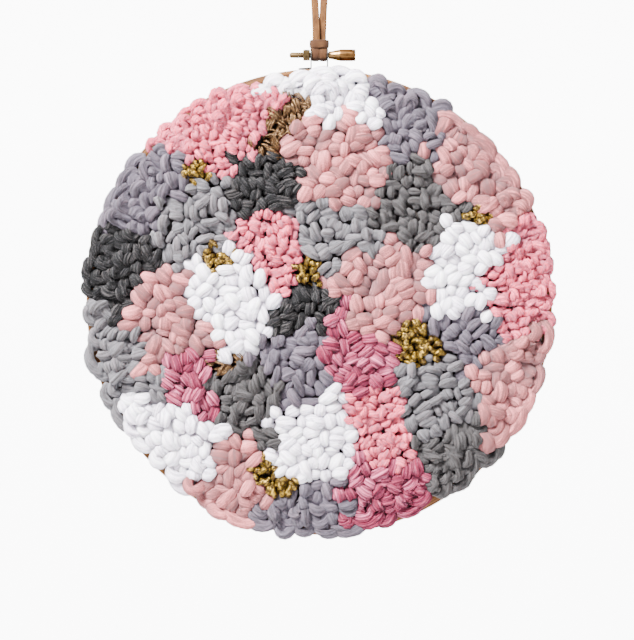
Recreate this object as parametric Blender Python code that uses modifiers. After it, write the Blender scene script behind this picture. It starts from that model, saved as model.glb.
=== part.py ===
"""Looped yarn embroidery art, stretched in a round wooden hoop that hangs from a leather lace.

Metres, +Z up. The worked face looks towards -Y. The origin is the point where the lace's loop
hangs on its hook, so the hoop's centre lies straight below it.
"""

import math
import random

import bmesh
import bpy
import numpy as np
from mathutils import Matrix, Vector

MILLIMETRE = 0.001

# Hoop
HOOP_RADIUS = 0.130  # outside of the outer ring, a ten inch hoop
RING_WALL = 0.0042
RING_CHAMFER = 0.0006
OUTER_RING_DEPTH = 0.010
INNER_RING_DEPTH = 0.009
RING_BACK_Y = 0.0045  # both rings end here, against the wall
RING_SEGMENTS = 72
CLOTH_THICKNESS = 0.001
CLOTH_CORNER = 0.0006  # where the cloth turns over the inner ring's edge
CLOTH_TRIM = 0.001  # the cloth ends this far in front of the rings' back
GAP = 0.0003  # between pieces that touch

# Tension screw and its fittings, all on one axis along X
SCREW_HEIGHT = 0.1381  # screw axis above the hoop's centre
SHANK_RADIUS = 0.0015
SCREW_TIP_X = -0.0167
NECK_X = 0.00525
KNOB_X = 0.0114
KNOB_END_X = 0.0202
NECK_RADIUS = 0.00215
KNOB_RADIUS = 0.0033
KNOB_EDGE = 0.0004
SLOT_WIDTH = 0.0009
SLOT_DEPTH = 0.0013
SCREW_SEGMENTS = 24
CLEARANCE_RADIUS = SHANK_RADIUS + GAP
CLEARANCE_LENGTH = 0.030  # long enough to pass through the nut and both ears
EAR_X = 0.0046  # middle of each ear's sheet
EAR_SHEET = 0.0007
EAR_WIDTH = 0.008
EAR_TOP = 0.0036  # above the screw's axis
EAR_ROUND = 0.0030
FOOT_LENGTH = 0.007
NUT_LENGTH = 0.0038
NUT_SIDE = 0.0058
NUT_EDGE = 0.0005

# Leather lace
HANG_HEIGHT = 0.182  # the loop's hanging point above the hoop's centre
LACE_WIDTH = 0.0034
LACE_THICKNESS = 0.0016
LACE_EDGE = 0.0004
LACE_ARCH_RADIUS = 0.003  # inside of the loop where it goes over its hook
WRAP_INNER = SHANK_RADIUS + 0.0004
WRAP_OUTER = 0.0037
WRAP_WIDTH = 0.0040
WRAP_X = 0.00215
FRONT_LEGS_SIZE = (0.0081, 0.0015, 0.0046)  # the lace's two legs in front of the screw
FRONT_LEGS_Y = -0.00284
FRONT_LEGS_RISE = 0.0023
BIGHT_SIZE = (0.0094, 0.0022, 0.0048)  # the bight across the front, above the screw
BIGHT_Y = -0.0031
BIGHT_RISE = 0.0059
BIGHT_ROUND = 0.0008
# Left strand, from the hitch to the arch. x and y in metres, rise above the screw's axis,
# turn of the strap's width from facing front (0) to edge on (90)
LACE_ROUTE = (
    # x, y, rise, turn
    (-0.00175, -0.0004, 0.0042, 0),
    (-0.00175, -0.0004, 0.0070, 0),
    (-0.00180, -0.0003, 0.0110, 0),
    (-0.00195, -0.0002, 0.0160, 0),
    (-0.00220, -0.0001, 0.0220, 0),
    (-0.00250, 0.0, 0.0290, 6),
    (-0.00300, 0.0, 0.0335, 45),
    (-0.00355, 0.0, 0.0375, 84),
)

# Pile of yarn loops
PILE_RADIUS = 0.1312
PILE_BASE_Y = -0.0061  # underside of the pile, just in front of the cloth
PILE_TOP = 0.0108  # highest loops above the pile's underside
PILE_VALLEY = 0.0050
PILE_RIM = 0.0042
LUMPS = 285  # each raised lump stands for a small bunch of loops
LUMP_SHIFT = 0.0020
LUMP_SLOPE = 0.0095  # how far from its valleys a lump is fully raised
RISE_SHARE = 0.86  # the lowest lump's height as a share of the highest one's
RIM_SLOPE = 0.009  # width of the band where the pile falls to its rim
SCALLOP = 0.0032
BLANKET_STEPS = 31
PATCH_GAP = 0.0005
SEED = 11

# Yarn patches: yarn, distance of the patch's middle from the hoop's centre in millimetres,
# direction in degrees from +X, reach relative to its neighbours
PATCHES = (
    # yarn, distance, direction, reach
    ("charcoal", 10, 205, 0.85),
    ("blush", 38, 12, 1.15),
    ("silver", 40, 74, 0.95),
    ("coral", 37, 128, 0.95),
    ("white", 44, 181, 1.10),
    ("lavender", 38, 243, 0.90),
    ("rose", 40, 303, 1.00),
    ("gold", 19, 101, 0.48),
    ("gold", 58, 334, 0.50),
    ("bronze", 62, 213, 0.50),
    ("white", 80, 14, 1.05),
    ("grey", 75, 45, 1.00),
    ("blush", 78, 83, 1.15),
    ("charcoal", 76, 116, 0.85),
    ("silver", 82, 146, 1.05),
    ("gold", 62, 158, 0.42),
    ("blush", 83, 188, 1.05),
    ("rose", 86, 213, 0.80),
    ("grey", 70, 236, 0.90),
    ("white", 76, 268, 1.15),
    ("coral", 74, 297, 0.90),
    ("silver", 80, 324, 1.00),
    ("lavender", 83, 348, 0.80),
    ("gold", 97, 31, 0.45),
    ("bronze", 98, 101, 0.46),
    ("gold", 98, 254, 0.50),
    ("coral", 113, 3, 1.00),
    ("blush", 116, 40, 1.15),
    ("lavender", 108, 62, 1.00),
    ("white", 117, 84, 0.95),
    ("coral", 112, 121, 1.05),
    ("lavender", 117, 150, 0.90),
    ("charcoal", 112, 172, 0.80),
    ("silver", 118, 196, 1.05),
    ("white", 113, 223, 1.10),
    ("blush", 110, 245, 0.85),
    ("lavender", 115, 269, 1.05),
    ("rose", 112, 289, 0.85),
    ("grey", 115, 310, 1.00),
    ("blush", 113, 335, 1.05),
    ("gold", 104, 134, 0.40),
)

# Finishes: base colour, roughness, metallic
FINISHES = {
    "wood": ((0.62, 0.43, 0.25), 0.55, 0.0),
    "cloth": ((0.80, 0.74, 0.63), 0.90, 0.0),
    "brass": ((0.55, 0.35, 0.13), 0.32, 1.0),
    "steel": ((0.56, 0.55, 0.53), 0.35, 1.0),
    "leather": ((0.48, 0.29, 0.17), 0.70, 0.0),
    "blush": ((0.80, 0.52, 0.48), 0.85, 0.0),
    "coral": ((0.78, 0.30, 0.33), 0.85, 0.0),
    "rose": ((0.55, 0.13, 0.22), 0.85, 0.0),
    "white": ((0.88, 0.88, 0.88), 0.85, 0.0),
    "silver": ((0.46, 0.48, 0.47), 0.85, 0.0),
    "grey": ((0.27, 0.29, 0.30), 0.85, 0.0),
    "lavender": ((0.42, 0.40, 0.44), 0.85, 0.0),
    "charcoal": ((0.10, 0.11, 0.12), 0.85, 0.0),
    "gold": ((0.60, 0.42, 0.10), 0.30, 0.9),
    "bronze": ((0.36, 0.24, 0.10), 0.35, 0.9),
}

inner_ring_outside = HOOP_RADIUS - RING_WALL - CLOTH_THICKNESS - 2 * GAP


def clear_scene():
    for old in list(bpy.data.objects):
        bpy.data.objects.remove(old, do_unlink=True)


def new_collection(name):
    made = bpy.data.collections.new(name)
    bpy.context.scene.collection.children.link(made)
    return made


def make_finishes():
    made = {}
    for name, (colour, roughness, metallic) in FINISHES.items():
        material = bpy.data.materials.new(name)
        material.use_nodes = True
        shader = material.node_tree.nodes["Principled BSDF"]
        shader.inputs["Base Color"].default_value = (*colour, 1.0)
        shader.inputs["Roughness"].default_value = roughness
        shader.inputs["Metallic"].default_value = metallic
        material.diffuse_color = (*colour, 1.0)
        made[name] = material
    return made


def add_part(name, mesh, finish, location=(0, 0, 0), rotation=(0, 0, 0), smooth_angle=None):
    """Puts a mesh in the part's collection as one named piece, hung from the hoop's centre."""
    piece = bpy.data.objects.new(name, mesh)
    parts.objects.link(piece)
    piece.location = location
    piece.rotation_euler = rotation
    piece.parent = hoop_centre
    mesh.materials.append(finishes[finish])
    if smooth_angle is not None:
        mesh.shade_smooth()
        mesh.set_sharp_from_angle(angle=math.radians(smooth_angle))
    return piece


def add_cutter(name, mesh, location=(0, 0, 0), rotation=(0, 0, 0)):
    cutter = bpy.data.objects.new(name, mesh)
    cutters.objects.link(cutter)
    cutter.location = location
    cutter.rotation_euler = rotation
    cutter.parent = hoop_centre
    cutter.hide_render = True
    cutter.display_type = "WIRE"
    return cutter


def add_boolean(piece, other, operation="DIFFERENCE"):
    modifier = piece.modifiers.new(other.name, "BOOLEAN")
    modifier.operation = operation
    modifier.object = other


def box_mesh(name, size):
    bm = bmesh.new()
    bmesh.ops.create_cube(bm, size=1.0, matrix=Matrix.Diagonal((*size, 1.0)))
    mesh = bpy.data.meshes.new(name)
    bm.to_mesh(mesh)
    bm.free()
    return mesh


def cylinder_mesh(name, radius, length, segments):
    bm = bmesh.new()
    bmesh.ops.create_cone(
        bm, cap_ends=True, segments=segments, radius1=radius, radius2=radius, depth=length
    )
    mesh = bpy.data.meshes.new(name)
    bm.to_mesh(mesh)
    bm.free()
    return mesh


def profile_mesh(name, points, closed):
    """A profile of (radius, height) points for a Screw modifier."""
    bm = bmesh.new()
    corners = [bm.verts.new((radius, 0, height)) for radius, height in points]
    for first, second in zip(corners, corners[1:]):
        bm.edges.new((first, second))
    if closed:
        bm.edges.new((corners[-1], corners[0]))
    mesh = bpy.data.meshes.new(name)
    bm.to_mesh(mesh)
    bm.free()
    return mesh


def turn(piece, segments):
    modifier = piece.modifiers.new("turned", "SCREW")
    modifier.axis = "Z"
    modifier.angle = math.tau
    modifier.steps = segments
    modifier.render_steps = segments
    modifier.use_merge_vertices = True
    modifier.merge_threshold = 0.00001
    modifier.use_smooth_shade = True


def band_profile(inside, outside, low, high, chamfer):
    """The section of a ring with chamfered corners, run down its outer side."""
    return (
        (outside - chamfer, high),
        (outside, high - chamfer),
        (outside, low + chamfer),
        (outside - chamfer, low),
        (inside + chamfer, low),
        (inside, low + chamfer),
        (inside, high - chamfer),
        (inside + chamfer, high),
    )


FACE_FORWARD = (math.radians(90), 0, 0)  # turns local +Z to the front, -Y
FACE_RIGHT = (0, math.radians(90), 0)  # turns local +Z to +X


def make_rings():
    """The split outer ring and the plain inner ring of thin wood."""
    sizes = (
        ("outer_ring", HOOP_RADIUS, OUTER_RING_DEPTH),
        ("inner_ring", inner_ring_outside, INNER_RING_DEPTH),
    )
    for name, outside, depth in sizes:
        section = band_profile(outside - RING_WALL, outside, 0, depth, RING_CHAMFER)
        mesh = profile_mesh(name, section, closed=True)
        ring = add_part(name, mesh, "wood", (0, RING_BACK_Y, 0), FACE_FORWARD)
        turn(ring, RING_SEGMENTS)
        if name == "outer_ring":
            split_width = 2 * EAR_X - EAR_SHEET
            size = (split_width, 3 * OUTER_RING_DEPTH, 6 * RING_WALL)
            split = add_cutter("ring_split", box_mesh("ring_split", size), (0, 0, HOOP_RADIUS))
            add_boolean(ring, split)


def make_backing_cloth():
    """The cloth drawn over the inner ring's front edge and back between the two rings."""
    outside = HOOP_RADIUS - RING_WALL - GAP
    inside = outside - CLOTH_THICKNESS
    front = INNER_RING_DEPTH + GAP + CLOTH_THICKNESS
    section = (
        (0, front),
        (outside - CLOTH_CORNER, front),
        (outside, front - CLOTH_CORNER),
        (outside, CLOTH_TRIM),
        (inside, CLOTH_TRIM),
        (inside, front - CLOTH_THICKNESS),
        (0, front - CLOTH_THICKNESS),
    )
    mesh = profile_mesh("backing_cloth", section, closed=False)
    cloth = add_part("backing_cloth", mesh, "cloth", (0, RING_BACK_Y, 0), FACE_FORWARD)
    turn(cloth, RING_SEGMENTS)


def make_ear(name, side, clearance):
    """A bent sheet: a foot lies on the end of the outer ring and an ear stands up from it."""
    foot_lift = HOOP_RADIUS + GAP + EAR_SHEET / 2
    foot_slope = math.asin((EAR_X + FOOT_LENGTH / 2) / HOOP_RADIUS)
    strip = (
        (EAR_X + FOOT_LENGTH, foot_lift - FOOT_LENGTH * math.tan(foot_slope)),
        (EAR_X, foot_lift),
        (EAR_X, SCREW_HEIGHT + EAR_TOP),
    )
    bm = bmesh.new()
    row = [bm.verts.new((side * x, -EAR_WIDTH / 2, z)) for x, z in strip]
    edges = [bm.edges.new(pair) for pair in zip(row, row[1:])]
    sheet = bmesh.ops.extrude_edge_only(bm, edges=edges)
    far_row = [v for v in sheet["geom"] if isinstance(v, bmesh.types.BMVert)]
    bmesh.ops.translate(bm, verts=far_row, vec=(0, EAR_WIDTH, 0))
    top = [v for v in bm.verts if v.co.z > SCREW_HEIGHT]
    bmesh.ops.bevel(
        bm, geom=top, offset=EAR_ROUND, segments=3, profile=0.5, affect="VERTICES"
    )
    mesh = bpy.data.meshes.new(name)
    bm.to_mesh(mesh)
    bm.free()
    ear = add_part(name, mesh, "steel")
    thick = ear.modifiers.new("sheet", "SOLIDIFY")
    thick.thickness = EAR_SHEET
    thick.offset = 0
    thick.use_even_offset = True
    add_boolean(ear, clearance)


def make_nut(clearance):
    """A square nut that bears on the left ear."""
    mesh = box_mesh("nut", (NUT_LENGTH, NUT_SIDE, NUT_SIDE))
    x = -EAR_X - EAR_SHEET / 2 - GAP - NUT_LENGTH / 2
    nut = add_part("nut", mesh, "brass", (x, 0, SCREW_HEIGHT))
    edges = nut.modifiers.new("edges", "BEVEL")
    edges.width = NUT_EDGE
    edges.segments = 2
    add_boolean(nut, clearance)


def make_tension_screw():
    """The slotted brass screw: knob, flared neck and shank with a round tip."""
    section = (
        (0, KNOB_END_X),
        (KNOB_RADIUS - KNOB_EDGE, KNOB_END_X),
        (KNOB_RADIUS, KNOB_END_X - KNOB_EDGE),
        (KNOB_RADIUS, KNOB_X + 0.0008),
        (KNOB_RADIUS - 0.00012, KNOB_X),
        (KNOB_RADIUS - 0.0005, KNOB_X - 0.0018),
        (NECK_RADIUS + 0.00018, KNOB_X - 0.0040),
        (NECK_RADIUS, NECK_X + 0.0012),
        (NECK_RADIUS, NECK_X),
        (SHANK_RADIUS, NECK_X),
        (SHANK_RADIUS, SCREW_TIP_X + 0.0014),
        (SHANK_RADIUS * 0.8, SCREW_TIP_X + 0.0006),
        (SHANK_RADIUS * 0.45, SCREW_TIP_X + 0.0001),
        (0, SCREW_TIP_X),
    )
    mesh = profile_mesh("tension_screw", section, closed=False)
    screw = add_part("tension_screw", mesh, "brass", (0, 0, SCREW_HEIGHT), FACE_RIGHT)
    turn(screw, SCREW_SEGMENTS)
    slot_size = (2 * SLOT_DEPTH, SLOT_WIDTH, 4 * KNOB_RADIUS)
    slot_place = (KNOB_END_X, 0, SCREW_HEIGHT)
    slot = add_cutter("knob_slot", box_mesh("knob_slot", slot_size), slot_place)
    add_boolean(screw, slot)


def smooth_route(rows, per_span):
    """Points on a smooth curve through the rows, with every column carried along."""
    rows = np.array(rows, float)
    padded = np.vstack([2 * rows[0] - rows[1], rows, 2 * rows[-1] - rows[-2]])
    made = []
    for before, start, end, after in zip(padded, padded[1:], padded[2:], padded[3:]):
        for step in range(per_span):
            t = step / per_span
            made.append(
                start
                + 0.5 * t * (end - before)
                + t * t * (before - 2.5 * start + 2 * end - 0.5 * after)
                + 0.5 * t * t * t * (3 * (start - end) + after - before)
            )
    made.append(rows[-1])
    return made


def lace_stations():
    """(centre, width direction) along the whole lace: up the left strand, over and down."""
    half = []
    for x, y, rise, turned in smooth_route(LACE_ROUTE, 2):
        angle = math.radians(turned)
        centre = Vector((x, y, SCREW_HEIGHT + rise))
        half.append((centre, Vector((math.cos(angle), math.sin(angle), 0))))
    arch_radius = LACE_ARCH_RADIUS + LACE_THICKNESS / 2
    arch_centre = Vector((0, 0, HANG_HEIGHT - LACE_ARCH_RADIUS))
    arch = []
    for degrees in range(180, -1, -20):
        angle = math.radians(degrees)
        out = Vector((math.cos(angle), 0, math.sin(angle)))
        arch.append((arch_centre + arch_radius * out, Vector((0, 1, 0))))
    other_half = [
        (Vector((-c.x, c.y, c.z)), Vector((-w.x, w.y, w.z))) for c, w in reversed(half)
    ]
    return half + arch + other_half


def make_lace_loop():
    """The flat leather strap of the hanging loop, lofted from one section to the next."""
    stations = lace_stations()
    half_width = LACE_WIDTH / 2
    half_thick = LACE_THICKNESS / 2
    section = (
        (half_width, half_thick - LACE_EDGE),
        (half_width - LACE_EDGE, half_thick),
        (LACE_EDGE - half_width, half_thick),
        (-half_width, half_thick - LACE_EDGE),
        (-half_width, LACE_EDGE - half_thick),
        (LACE_EDGE - half_width, -half_thick),
        (half_width - LACE_EDGE, -half_thick),
        (half_width, LACE_EDGE - half_thick),
    )
    bm = bmesh.new()
    rings = []
    for place, (centre, across) in enumerate(stations):
        before = stations[max(place - 1, 0)][0]
        after = stations[min(place + 1, len(stations) - 1)][0]
        out = (after - before).normalized().cross(across).normalized()
        rings.append([bm.verts.new(centre + across * w + out * t) for w, t in section])
    for first, second in zip(rings, rings[1:]):
        for corner in range(len(section)):
            following = (corner + 1) % len(section)
            sides = (first[corner], first[following], second[following], second[corner])
            bm.faces.new(sides)
    bm.faces.new(rings[0])
    bm.faces.new(rings[-1])
    bmesh.ops.recalc_face_normals(bm, faces=bm.faces)
    mesh = bpy.data.meshes.new("lace_loop")
    bm.to_mesh(mesh)
    bm.free()
    add_part("lace_loop", mesh, "leather", smooth_angle=40)


def make_lace_hitch():
    """The hitch on the screw: two wraps under the shank and a bight across the front."""
    section = band_profile(
        WRAP_INNER, WRAP_OUTER, -WRAP_WIDTH / 2, WRAP_WIDTH / 2, LACE_EDGE
    )
    mesh = profile_mesh("lace_hitch", section, closed=True)
    left_wrap = add_part(
        "lace_hitch", mesh, "leather", (-WRAP_X, 0, SCREW_HEIGHT), FACE_RIGHT
    )
    turn(left_wrap, SCREW_SEGMENTS)
    mesh = profile_mesh("right_wrap", section, closed=True)
    right_wrap = add_cutter("right_wrap", mesh, (WRAP_X, 0, SCREW_HEIGHT), FACE_RIGHT)
    turn(right_wrap, SCREW_SEGMENTS)
    legs_place = (0, FRONT_LEGS_Y, SCREW_HEIGHT + FRONT_LEGS_RISE)
    legs = add_cutter("front_legs", box_mesh("front_legs", FRONT_LEGS_SIZE), legs_place)
    bight_place = (0, BIGHT_Y, SCREW_HEIGHT + BIGHT_RISE)
    bight = add_cutter("bight", box_mesh("bight", BIGHT_SIZE), bight_place)
    rounding = bight.modifiers.new("rounding", "BEVEL")
    rounding.width = BIGHT_ROUND
    rounding.segments = 2
    for other in (right_wrap, legs, bight):
        add_boolean(left_wrap, other, "UNION")


def lump_places():
    """Middles of the raised lumps: a sunflower spread over the disc, each one shifted a little."""
    golden_angle = math.pi * (3 - math.sqrt(5))
    shift = random.Random(SEED)
    places = []
    for number in range(LUMPS):
        distance = (PILE_RADIUS - RIM_SLOPE / 2) * math.sqrt((number + 0.5) / LUMPS)
        angle = number * golden_angle
        x = distance * math.cos(angle) + shift.uniform(-LUMP_SHIFT, LUMP_SHIFT)
        z = distance * math.sin(angle) + shift.uniform(-LUMP_SHIFT, LUMP_SHIFT)
        places.append((x, z))
    return np.array(places)


def lump_patches(lumps):
    """The patch that each lump belongs to: the one whose middle is nearest for its reach."""
    distance, direction, reach = np.array([row[1:] for row in PATCHES], float).T
    angle = np.radians(direction)
    middles = np.stack([distance * np.cos(angle), distance * np.sin(angle)], 1) * MILLIMETRE
    away = np.linalg.norm(lumps[:, None, :] - middles[None, :, :], axis=2)
    return np.argmin(away / reach, axis=1)


def hexagon_to_disc(point):
    """Moves a point of a hexagon with its corners on a circle outwards, to fill the circle."""
    if point.length < 1e-9:
        return point.copy()
    sector = math.floor(math.atan2(point.y, point.x) / math.radians(60))
    middle = math.radians(60 * sector + 30)
    inward = point.x * math.cos(middle) + point.y * math.sin(middle)
    along = point.y * math.cos(middle) - point.x * math.sin(middle)
    angle = middle + math.radians(30) * (along / inward) / math.tan(math.radians(30))
    radius = inward / math.cos(math.radians(30))
    return Vector((radius * math.cos(angle), radius * math.sin(angle), 0))


def flat_blanket(lumps):
    """A disc of even triangles with a scalloped rim, flat in its own XY plane."""
    bm = bmesh.new()
    corners_on_x = Matrix.Rotation(math.radians(30), 4, "Z")
    bmesh.ops.create_circle(
        bm, cap_ends=True, cap_tris=True, segments=6, radius=PILE_RADIUS, matrix=corners_on_x
    )
    bmesh.ops.subdivide_edges(
        bm, edges=bm.edges, cuts=BLANKET_STEPS - 1, use_grid_fill=True
    )
    for vert in bm.verts:
        vert.co = hexagon_to_disc(vert.co)
        if vert.is_boundary:
            lobe = roundness(vert.co, lumps) - 0.5
            vert.co *= 1 + SCALLOP * lobe / PILE_RADIUS
    return bm


def roundness(point, lumps):
    """1 on top of a lump, falling to 0 in the valley between two lumps."""
    away = np.sort(np.hypot(lumps[:, 0] - point.x, lumps[:, 1] - point.y))
    share = min(1.0, (away[1] - away[0]) / LUMP_SLOPE)
    return math.sqrt(share)


def pile_height(point, lumps, lump_rise):
    away = np.hypot(lumps[:, 0] - point.x, lumps[:, 1] - point.y)
    top = PILE_TOP * lump_rise[int(np.argmin(away))]
    height = PILE_VALLEY + (top - PILE_VALLEY) * roundness(point, lumps)
    to_rim = (PILE_RADIUS - point.length) / RIM_SLOPE
    if to_rim < 1:
        height = PILE_RIM + (height - PILE_RIM) * math.sqrt(max(0.0, to_rim))
    return height


def label_faces(bm, lumps, patch_of_lump):
    """Gives each face its patch, then lets a face that juts out join its neighbours."""
    labels = {}
    for face in bm.faces:
        middle = face.calc_center_median()
        away = np.hypot(lumps[:, 0] - middle.x, lumps[:, 1] - middle.y)
        labels[face] = int(patch_of_lump[int(np.argmin(away))])
    for _ in range(4):
        for face in bm.faces:
            around = [
                labels[other]
                for edge in face.edges
                for other in edge.link_faces
                if other is not face
            ]
            for label in set(around):
                if label != labels[face] and around.count(label) >= 2:
                    labels[face] = label
    return labels


def patch_mesh(name, blanket, lumps, lump_rise, keep):
    """One patch cut from the blanket, drawn in by half the gap, raised into lumps and closed."""
    bm = blanket.copy()
    bm.faces.ensure_lookup_table()
    others = [face for face in bm.faces if not keep[face.index]]
    bmesh.ops.delete(bm, geom=others, context="FACES")
    border = bmesh.ops.inset_region(
        bm, faces=bm.faces, thickness=PATCH_GAP / 2, use_boundary=True, use_even_offset=True
    )
    bmesh.ops.delete(bm, geom=border["faces"], context="FACES")
    underside = bm.faces[:]
    raised = bmesh.ops.extrude_face_region(bm, geom=underside, use_keep_orig=True)
    for vert in raised["geom"]:
        if isinstance(vert, bmesh.types.BMVert):
            vert.co.z = pile_height(vert.co, lumps, lump_rise)
    flat_edges = {edge for face in underside for edge in face.edges}
    flat_verts = {vert for face in underside for vert in face.verts}
    bmesh.ops.dissolve_limit(
        bm,
        angle_limit=math.radians(0.5),
        verts=[v for v in flat_verts if v.co.z == 0],
        edges=[e for e in flat_edges if all(f in underside for f in e.link_faces)],
    )
    bmesh.ops.recalc_face_normals(bm, faces=bm.faces)
    mesh = bpy.data.meshes.new(name)
    bm.to_mesh(mesh)
    bm.free()
    return mesh


def make_pile():
    """The yarn patches, each a lumpy slab of looped yarn that stands on the cloth."""
    lumps = lump_places()
    patch_of_lump = lump_patches(lumps)
    rise = random.Random(SEED + 1)
    lump_rise = [rise.uniform(RISE_SHARE, 1.0) for _ in range(LUMPS)]
    blanket = flat_blanket(lumps)
    labels = label_faces(blanket, lumps, patch_of_lump)
    blanket.faces.index_update()
    patch_of_face = [labels[face] for face in blanket.faces]
    count = {}
    for number, (yarn, *_) in enumerate(PATCHES):
        count[yarn] = count.get(yarn, 0) + 1
        keep = [patch == number for patch in patch_of_face]
        name = f"pile_{yarn}_{count[yarn]}"
        mesh = patch_mesh(name, blanket, lumps, lump_rise, keep)
        add_part(name, mesh, yarn, (0, PILE_BASE_Y, 0), FACE_FORWARD, smooth_angle=60)
    blanket.free()


clear_scene()
parts = new_collection("embroidery_hoop_art")
cutters = new_collection("cutters")
finishes = make_finishes()
hoop_centre = bpy.data.objects.new("hoop_centre", None)
parts.objects.link(hoop_centre)
hoop_centre.location = (0, 0, -HANG_HEIGHT)

make_rings()
make_backing_cloth()
clearance_mesh = cylinder_mesh(
    "screw_clearance", CLEARANCE_RADIUS, CLEARANCE_LENGTH, SCREW_SEGMENTS
)
screw_clearance = add_cutter(
    "screw_clearance", clearance_mesh, (0, 0, SCREW_HEIGHT), FACE_RIGHT
)
make_ear("ear_left", -1, screw_clearance)
make_ear("ear_right", 1, screw_clearance)
make_nut(screw_clearance)
make_tension_screw()
make_lace_hitch()
make_lace_loop()
make_pile()
bpy.context.view_layer.update()
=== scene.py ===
"""Looks of a round embroidery hoop filled with looped yarn, hanging by a suede lace from its screw.

Metres, +Z up. The face looks towards -Y, and the origin is the hang point inside the top of the lace.
"""
import math
from collections import namedtuple

import bpy
import numpy as np
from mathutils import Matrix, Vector
from mathutils.bvhtree import BVHTree


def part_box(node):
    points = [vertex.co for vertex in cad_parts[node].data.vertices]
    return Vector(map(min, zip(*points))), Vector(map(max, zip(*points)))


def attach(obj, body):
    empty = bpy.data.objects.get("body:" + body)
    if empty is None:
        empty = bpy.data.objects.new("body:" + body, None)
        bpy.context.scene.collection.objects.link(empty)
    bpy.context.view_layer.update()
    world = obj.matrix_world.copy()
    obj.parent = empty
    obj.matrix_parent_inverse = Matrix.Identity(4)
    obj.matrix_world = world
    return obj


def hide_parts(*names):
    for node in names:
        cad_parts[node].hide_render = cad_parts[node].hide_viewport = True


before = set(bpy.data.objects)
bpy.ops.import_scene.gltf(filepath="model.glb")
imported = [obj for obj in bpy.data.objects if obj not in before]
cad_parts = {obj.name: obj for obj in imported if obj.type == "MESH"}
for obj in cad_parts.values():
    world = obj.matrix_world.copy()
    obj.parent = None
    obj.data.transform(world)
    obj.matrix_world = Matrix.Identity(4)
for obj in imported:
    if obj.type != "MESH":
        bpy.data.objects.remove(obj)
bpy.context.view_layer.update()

MM = 0.001

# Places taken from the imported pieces
RING_LOW, RING_HIGH = (Vector(corner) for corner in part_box("outer_ring"))
CLOTH_LOW, CLOTH_HIGH = (Vector(corner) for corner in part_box("backing_cloth"))
SCREW_LOW, SCREW_HIGH = (Vector(corner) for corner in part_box("tension_screw"))
HOOP_RADIUS = (RING_HIGH.x - RING_LOW.x) / 2
HOOP_MIDDLE = Vector((0, 0, RING_LOW.z + HOOP_RADIUS))
SCREW_AXIS_Z = (SCREW_LOW.z + SCREW_HIGH.z) / 2

# Camera
LENS = 180.0
SENSOR = 36.0
VIEW_HEIGHT = 0.3556  # what the picture's height covers at the face
VIEW_MIDDLE = Vector((-0.0013, 0, -0.1921))
FACE_Y = -0.013

# Light: the softboxes face the middle of the hoop
Softbox = namedtuple("Softbox", "name place size watts")
SOFTBOXES = (
    Softbox("key", (-0.80, -0.95, 1.0), 0.4, 338),
    Softbox("fill", (1.2, -1.5, 0.0), 1.0, 26),
    Softbox("back", (0.9, 1.6, 0.6), 1.0, 14),
)
SKY_COLOUR = (0.97, 0.98, 1.0, 1)
SKY_STRENGTH = 0.60

# Backdrop
FLOOR_Z = -0.9
WALL_Y = 3.4
WALL_TOP = 5.0
BACKDROP_REACH = 12.0  # to each side and to the front
BACKDROP_BEND = 1.0  # radius of the bend between floor and wall
GLOW_START_Y = 1.0
WALL_GLOW = 7.0  # the wall behind is lit until it is nearly white

# Wood. The tones are pale fibres, dark fibres and pores.
OUTER_WOOD = ("6d4622", "381d08", "1d0d03")
INNER_WOOD = ("75512b", "3f240c", "231405")
RING_WALL = 4.2 * MM
RING_EASING = 0.6 * MM
RING_STATIONS = 260
SPLIT_WIDTH = 8.5 * MM
JOINT_WIDTH = 0.01 * MM  # the inner ring's glued butt joint

# Cloth
CLOTH_THICKNESS = 1.0 * MM
CLOTH_BACK_Y = CLOTH_LOW.y + CLOTH_THICKNESS
CLOTH_RADIUS = (CLOTH_HIGH.x - CLOTH_LOW.x) / 2
CLOTH_TURNS = 144
THREAD_SPACING = 0.75 * MM

# Suede lace. It is wider than its solid, because the bright wall eats its edges.
SUEDE_TONES = ("684422", "472a11", "231006")
LACE_WIDTH = 4.1 * MM
LACE_THICKNESS = 1.6 * MM
HITCH_THICKNESS = 1.5 * MM
LACE_ARCH_RADIUS = 3.0 * MM
# Left strand, from the hitch to the arch, about half a millimetre from the solid's route at most.
# x, y, rise above the screw's axis, all in metres, and turn of its width in degrees
LACE_ROUTE = (
    (-0.00175, -0.0008, 0.0042, 0),
    (-0.00175, -0.0008, 0.0070, 0),
    (-0.00178, -0.0008, 0.0110, 0),
    (-0.00188, -0.0007, 0.0160, 0),
    (-0.00212, -0.0004, 0.0220, 0),
    (-0.00250, -0.0001, 0.0290, 6),
    (-0.00295, 0.0, 0.0335, 45),
    (-0.00355, 0.0, 0.0375, 84),
)
# Left half of the hitch: down in front of the screw, round under it, up behind, and out to the band.
# x, y, rise, width in millimetres, turn of the width from level in degrees
HITCH_ROUTE = (
    (-1.90, -1.2, 7.2, 3.7, 0),
    (-2.05, -2.1, 4.6, 4.3, 0),
    (-2.15, -2.75, 2.0, 4.7, 0),
    (-2.16, -2.75, -0.2, 4.6, 0),
    (-2.16, -2.15, -1.9, 4.5, 0),
    (-2.16, 0.0, -2.75, 4.4, 0),
    (-2.16, 2.15, -1.9, 4.3, 0),
    (-2.16, 2.75, 0.2, 4.1, 0),
    (-2.30, 2.80, 2.6, 3.9, 20),
    (-3.00, 2.60, 5.0, 4.1, 60),
    (-4.10, 1.60, 6.2, 4.4, 88),
    (-4.75, -0.20, 6.2, 4.6, 90),
    (-4.35, -2.20, 6.1, 4.7, 90),
    (-3.00, -3.25, 6.1, 4.7, 90),
    (-1.50, -3.55, 6.1, 4.7, 90),
    (0.0, -3.60, 6.1, 4.7, 90),
)

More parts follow.
